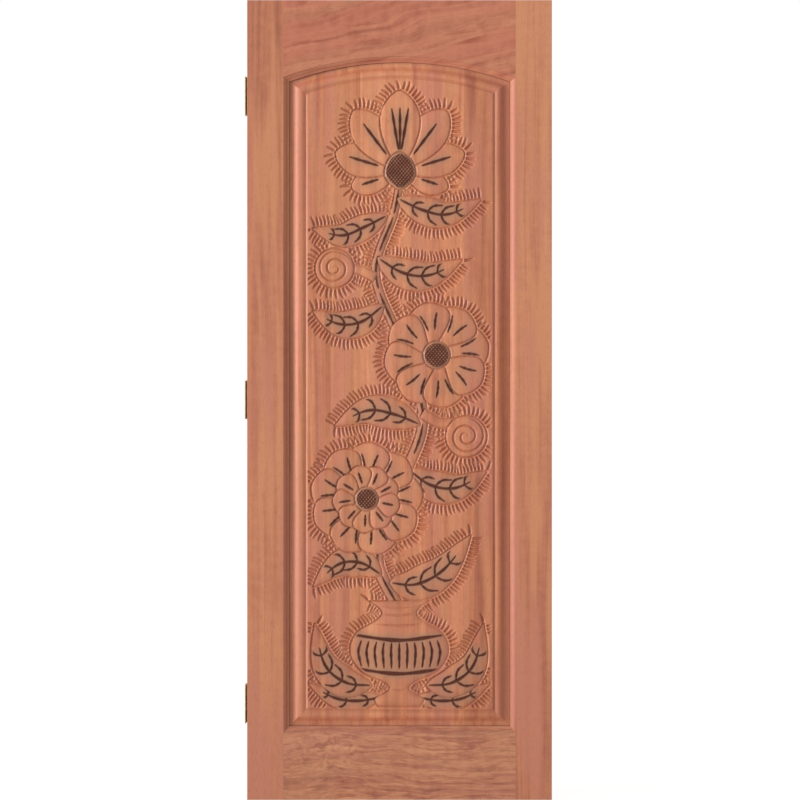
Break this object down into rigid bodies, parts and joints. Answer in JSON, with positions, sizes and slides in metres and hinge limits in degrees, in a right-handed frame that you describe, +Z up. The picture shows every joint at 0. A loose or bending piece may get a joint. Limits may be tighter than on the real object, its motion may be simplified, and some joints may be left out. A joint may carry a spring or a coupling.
{
  "type": "panelled wooden door leaf",
  "caption": "Solid wood door leaf with an arched, carved raised panel, hung on butt hinges so that it swings open.",
  "frame": {"origin": "middle of the leaf's bottom edge, halfway through its thickness", "axes": "+X to the right seen from the front, away from the hinges; -Y out of the carved front face; +Z up"},
  "size_m": [0.808, 0.0535, 2.1],
  "materials": {
    "stile_wood": "reddish brown hardwood, satin",
    "rail_wood": "reddish brown hardwood, satin",
    "panel_wood": "reddish brown hardwood, carved, satin",
    "plain_wood": "pale hardwood, raw",
    "hinge_brass": "aged brass, satin",
    "pin_brass": "aged brass, satin"
  },
  "bodies": {
    "frame_side": {"frame_flap_bottom": "hinge_brass", "hinge_pin_bottom": "pin_brass", "frame_flap_middle": "hinge_brass", "hinge_pin_middle": "pin_brass", "frame_flap_top": "hinge_brass", "hinge_pin_top": "pin_brass"},
    "door": {"hinge_stile": "stile_wood", "lock_stile": "stile_wood", "top_rail": "rail_wood", "bottom_rail": "rail_wood", "panel_stave_1": "panel_wood", "panel_stave_2": "panel_wood", "panel_stave_3": "panel_wood", "panel_stave_4": "panel_wood", "panel_stave_5": "panel_wood", "stave_dowels": "plain_wood", "top_tenon_wedges": "plain_wood", "bottom_tenon_wedges": "plain_wood", "door_flap_bottom": "hinge_brass", "hinge_screws_bottom": "pin_brass", "door_flap_middle": "hinge_brass", "hinge_screws_middle": "pin_brass", "door_flap_top": "hinge_brass", "hinge_screws_top": "pin_brass"}
  },
  "joints": [
    {"name": "swing", "type": "hinge", "parent": "frame_side", "child": "door", "pos_m": [-0.4015, 0.027, 0], "axis": [0, 0, 1], "range_deg": [0, 180]}
  ]
}
